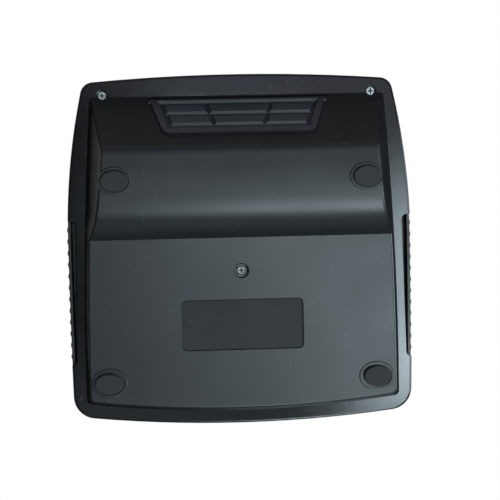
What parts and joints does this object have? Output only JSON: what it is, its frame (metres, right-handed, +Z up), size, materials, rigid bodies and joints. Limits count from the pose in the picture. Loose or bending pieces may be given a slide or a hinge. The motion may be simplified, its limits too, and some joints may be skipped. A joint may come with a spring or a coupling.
{
  "type": "desk calculator",
  "caption": "Desk calculator with a wedge-shaped black case on rubber feet, sprung keys, slide switches, a tilted display and a hinged battery cover underneath.",
  "frame": {"origin": "on the table, under the middle of the case's plan, with all four feet standing on it", "axes": "+Z up from the table, +Y to the rear where the display is, +X to the user's right"},
  "size_m": [0.1534, 0.1538, 0.0432],
  "materials": {
    "case_plastic": "fine moulded texture, black",
    "foot_rubber": "matt, dark warm grey",
    "mat_rubber": "matt, light grey",
    "screw_steel": "zinc plated",
    "contact_metal": "nickel plated",
    "cell_jacket": "plain shrink jacket",
    "key_black": "satin",
    "key_grey": "satin",
    "key_red": "satin",
    "clear_window": "clear, polished",
    "lcd_grey": "grey-green reflective",
    "frame_plastic": "satin",
    "ribbon_film": "amber film",
    "solar_film": "dark film with thin stripes",
    "board_laminate": "green solder resist",
    "chip_epoxy": "black epoxy"
  },
  "bodies": {
    "case": {"bottom_case": "case_plastic", "top_case": "case_plastic", "battery_cell": "cell_jacket", "battery_spring": "contact_metal", "battery_contact_plus": "contact_metal", "battery_contact_minus": "contact_metal", "rubber_feet": "foot_rubber", "case_screws": "screw_steel", "board_screws": "screw_steel", "keypad_mat": "mat_rubber", "main_board": "board_laminate", "chip_blob": "chip_epoxy", "board_parts": "chip_epoxy", "switch_bodies": "case_plastic", "display_window": "clear_window", "solar_window": "clear_window", "solar_cell": "solar_film", "lcd_glass": "lcd_grey", "lcd_frame": "frame_plastic", "lcd_ribbon": "ribbon_film"},
    "battery_cover": {"battery_cover": "case_plastic"},
    "rounding_knob": {"rounding_knob": "key_grey"},
    "decimal_knob": {"decimal_knob": "key_grey"},
    "key_all_clear": {"key_all_clear": "key_red"},
    "key_0": {"key_0": "key_black"},
    "key_00": {"key_00": "key_black"},
    "key_point": {"key_point": "key_black"},
    "key_plus": {"key_plus": "key_black"},
    "key_equals": {"key_equals": "key_black"},
    "key_clear_entry": {"key_clear_entry": "key_red"},
    "key_1": {"key_1": "key_black"},
    "key_2": {"key_2": "key_black"},
    "key_3": {"key_3": "key_black"},
    "key_minus": {"key_minus": "key_black"},
    "key_unit_price": {"key_unit_price": "key_grey"},
    "key_4": {"key_4": "key_black"},
    "key_5": {"key_5": "key_black"},
    "key_6": {"key_6": "key_black"},
    "key_multiply": {"key_multiply": "key_black"},
    "key_divide": {"key_divide": "key_black"},
    "key_sign": {"key_sign": "key_grey"},
    "key_7": {"key_7": "key_black"},
    "key_8": {"key_8": "key_black"},
    "key_9": {"key_9": "key_black"},
    "key_percent": {"key_percent": "key_grey"},
    "key_grand_total": {"key_grand_total": "key_grey"},
    "key_backspace": {"key_backspace": "key_grey"},
    "key_memory_clear": {"key_memory_clear": "key_grey"},
    "key_memory_recall": {"key_memory_recall": "key_grey"},
    "key_memory_minus": {"key_memory_minus": "key_grey"},
    "key_memory_plus": {"key_memory_plus": "key_grey"},
    "key_root": {"key_root": "key_grey"}
  },
  "joints": [
    {"name": "battery_cover_hinge", "type": "hinge", "parent": "case", "child": "battery_cover", "pos_m": [0, 0.06516, 0.0222], "axis": [1, 0, 0], "range_deg": [0, 85]},
    {"name": "decimal_knob_slide", "type": "slide", "parent": "case", "child": "decimal_knob", "axis": [1, 0, 0], "range_m": [-0.004, 0.004]},
    {"name": "rounding_knob_slide", "type": "slide", "parent": "case", "child": "rounding_knob", "axis": [1, 0, 0], "range_m": [-0.004, 0.004]},
    {"name": "key_all_clear_press", "type": "slide", "parent": "case", "child": "key_all_clear", "axis": [0, 0.1392, -0.9903], "range_m": [0, 0.0018], "stiffness_N_per_m": 350, "springref_m": -0.0003, "deforming": ["keypad_mat"]},
    {"name": "key_0_press", "type": "slide", "parent": "case", "child": "key_0", "axis": [0, 0.1392, -0.9903], "range_m": [0, 0.0018], "stiffness_N_per_m": 350, "springref_m": -0.0003, "deforming": ["keypad_mat"]},
    {"name": "key_00_press", "type": "slide", "parent": "case", "child": "key_00", "axis": [0, 0.1392, -0.9903], "range_m": [0, 0.0018], "stiffness_N_per_m": 350, "springref_m": -0.0003, "deforming": ["keypad_mat"]},
    {"name": "key_point_press", "type": "slide", "parent": "case", "child": "key_point", "axis": [0, 0.1392, -0.9903], "range_m": [0, 0.0018], "stiffness_N_per_m": 350, "springref_m": -0.0003, "deforming": ["keypad_mat"]},
    {"name": "key_plus_press", "type": "slide", "parent": "case", "child": "key_plus", "axis": [0, 0.1392, -0.9903], "range_m": [0, 0.0018], "stiffness_N_per_m": 350, "springref_m": -0.0003, "deforming": ["keypad_mat"]},
    {"name": "key_equals_press", "type": "slide", "parent": "case", "child": "key_equals", "axis": [0, 0.1392, -0.9903], "range_m": [0, 0.0018], "stiffness_N_per_m": 350, "springref_m": -0.0003, "deforming": ["keypad_mat"]},
    {"name": "key_clear_entry_press", "type": "slide", "parent": "case", "child": "key_clear_entry", "axis": [0, 0.1392, -0.9903], "range_m": [0, 0.0018], "stiffness_N_per_m": 350, "springref_m": -0.0003, "deforming": ["keypad_mat"]},
    {"name": "key_1_press", "type": "slide", "parent": "case", "child": "key_1", "axis": [0, 0.1392, -0.9903], "range_m": [0, 0.0018], "stiffness_N_per_m": 350, "springref_m": -0.0003, "deforming": ["keypad_mat"]},
    {"name": "key_2_press", "type": "slide", "parent": "case", "child": "key_2", "axis": [0, 0.1392, -0.9903], "range_m": [0, 0.0018], "stiffness_N_per_m": 350, "springref_m": -0.0003, "deforming": ["keypad_mat"]},
    {"name": "key_3_press", "type": "slide", "parent": "case", "child": "key_3", "axis": [0, 0.1392, -0.9903], "range_m": [0, 0.0018], "stiffness_N_per_m": 350, "springref_m": -0.0003, "deforming": ["keypad_mat"]},
    {"name": "key_minus_press", "type": "slide", "parent": "case", "child": "key_minus", "axis": [0, 0.1392, -0.9903], "range_m": [0, 0.0018], "stiffness_N_per_m": 350, "springref_m": -0.0003, "deforming": ["keypad_mat"]},
    {"name": "key_unit_price_press", "type": "slide", "parent": "case", "child": "key_unit_price", "axis": [0, 0.1392, -0.9903], "range_m": [0, 0.0018], "stiffness_N_per_m": 350, "springref_m": -0.0003, "deforming": ["keypad_mat"]},
    {"name": "key_4_press", "type": "slide", "parent": "case", "child": "key_4", "axis": [0, 0.1392, -0.9903], "range_m": [0, 0.0018], "stiffness_N_per_m": 350, "springref_m": -0.0003, "deforming": ["keypad_mat"]},
    {"name": "key_5_press", "type": "slide", "parent": "case", "child": "key_5", "axis": [0, 0.1392, -0.9903], "range_m": [0, 0.0018], "stiffness_N_per_m": 350, "springref_m": -0.0003, "deforming": ["keypad_mat"]},
    {"name": "key_6_press", "type": "slide", "parent": "case", "child": "key_6", "axis": [0, 0.1392, -0.9903], "range_m": [0, 0.0018], "stiffness_N_per_m": 350, "springref_m": -0.0003, "deforming": ["keypad_mat"]},
    {"name": "key_multiply_press", "type": "slide", "parent": "case", "child": "key_multiply", "axis": [0, 0.1392, -0.9903], "range_m": [0, 0.0018], "stiffness_N_per_m": 350, "springref_m": -0.0003, "deforming": ["keypad_mat"]},
    {"name": "key_divide_press", "type": "slide", "parent": "case", "child": "key_divide", "axis": [0, 0.1392, -0.9903], "range_m": [0, 0.0018], "stiffness_N_per_m": 350, "springref_m": -0.0003, "deforming": ["keypad_mat"]},
    {"name": "key_sign_press", "type": "slide", "parent": "case", "child": "key_sign", "axis": [0, 0.1392, -0.9903], "range_m": [0, 0.0018], "stiffness_N_per_m": 350, "springref_m": -0.0003, "deforming": ["keypad_mat"]},
    {"name": "key_7_press", "type": "slide", "parent": "case", "child": "key_7", "axis": [0, 0.1392, -0.9903], "range_m": [0, 0.0018], "stiffness_N_per_m": 350, "springref_m": -0.0003, "deforming": ["keypad_mat"]},
    {"name": "key_8_press", "type": "slide", "parent": "case", "child": "key_8", "axis": [0, 0.1392, -0.9903], "range_m": [0, 0.0018], "stiffness_N_per_m": 350, "springref_m": -0.0003, "deforming": ["keypad_mat"]},
    {"name": "key_9_press", "type": "slide", "parent": "case", "child": "key_9", "axis": [0, 0.1392, -0.9903], "range_m": [0, 0.0018], "stiffness_N_per_m": 350, "springref_m": -0.0003, "deforming": ["keypad_mat"]},
    {"name": "key_percent_press", "type": "slide", "parent": "case", "child": "key_percent", "axis": [0, 0.1392, -0.9903], "range_m": [0, 0.0018], "stiffness_N_per_m": 350, "springref_m": -0.0003, "deforming": ["keypad_mat"]},
    {"name": "key_grand_total_press", "type": "slide", "parent": "case", "child": "key_grand_total", "axis": [0, 0.1392, -0.9903], "range_m": [0, 0.0018], "stiffness_N_per_m": 350, "springref_m": -0.0003, "deforming": ["keypad_mat"]},
    {"name": "key_backspace_press", "type": "slide", "parent": "case", "child": "key_backspace", "axis": [0, 0.1392, -0.9903], "range_m": [0, 0.0018], "stiffness_N_per_m": 350, "springref_m": -0.0003, "deforming": ["keypad_mat"]},
    {"name": "key_memory_clear_press", "type": "slide", "parent": "case", "child": "key_memory_clear", "axis": [0, 0.1392, -0.9903], "range_m": [0, 0.0018], "stiffness_N_per_m": 350, "springref_m": -0.0003, "deforming": ["keypad_mat"]},
    {"name": "key_memory_recall_press", "type": "slide", "parent": "case", "child": "key_memory_recall", "axis": [0, 0.1392, -0.9903], "range_m": [0, 0.0018], "stiffness_N_per_m": 350, "springref_m": -0.0003, "deforming": ["keypad_mat"]},
    {"name": "key_memory_minus_press", "type": "slide", "parent": "case", "child": "key_memory_minus", "axis": [0, 0.1392, -0.9903], "range_m": [0, 0.0018], "stiffness_N_per_m": 350, "springref_m": -0.0003, "deforming": ["keypad_mat"]},
    {"name": "key_memory_plus_press", "type": "slide", "parent": "case", "child": "key_memory_plus", "axis": [0, 0.1392, -0.9903], "range_m": [0, 0.0018], "stiffness_N_per_m": 350, "springref_m": -0.0003, "deforming": ["keypad_mat"]},
    {"name": "key_root_press", "type": "slide", "parent": "case", "child": "key_root", "axis": [0, 0.1392, -0.9903], "range_m": [0, 0.0018], "stiffness_N_per_m": 350, "springref_m": -0.0003, "deforming": ["keypad_mat"]}
  ]
}
